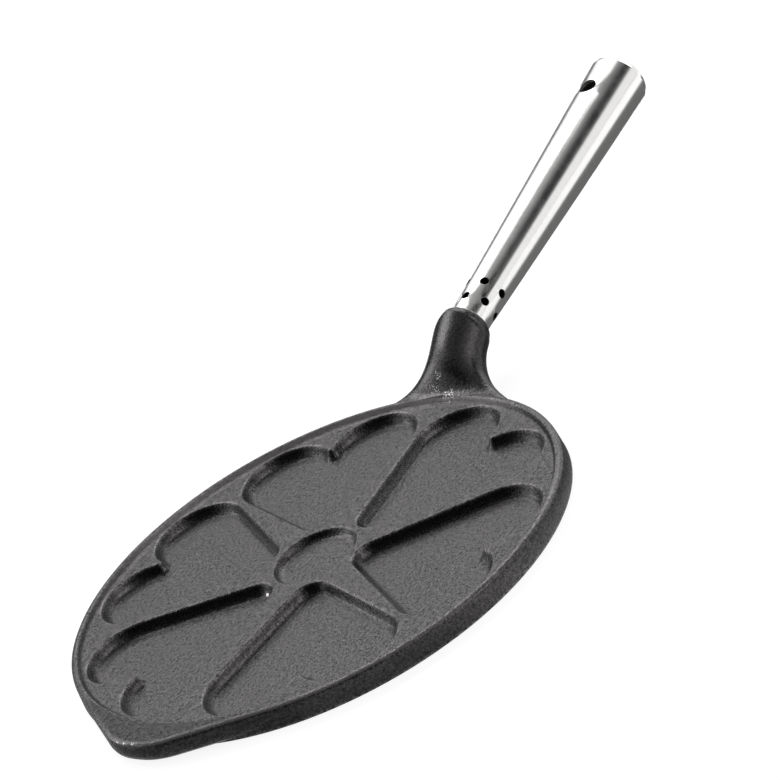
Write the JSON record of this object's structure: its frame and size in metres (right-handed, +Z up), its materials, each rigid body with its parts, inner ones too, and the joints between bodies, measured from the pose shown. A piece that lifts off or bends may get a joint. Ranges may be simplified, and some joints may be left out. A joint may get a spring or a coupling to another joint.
{
  "type": "heart pancake pan",
  "caption": "Round cast iron pan with heart cavities in a ring around a small round one, a raised rim with a blunt pouring lip, and a vented tapered steel tube handle.",
  "frame": {"origin": "middle of the round plate, on the flat base that the pan stands on", "axes": "+Z up, +X along the handle away from the plate, +Y to the left when looking from the plate along the handle"},
  "size_m": [0.4483, 0.2312, 0.064],
  "materials": {
    "cast_iron": "matte black with a fine sand grain",
    "handle_steel": "fine brushed, brushed across the tube",
    "fixing_steel": "turned, plain"
  },
  "bodies": {
    "root": {"pan_casting": "cast_iron", "handle_shell": "handle_steel", "handle_end_cap": "handle_steel", "handle_insert": "fixing_steel", "handle_stud": "fixing_steel", "lock_washer": "fixing_steel"}
  },
  "joints": []
}
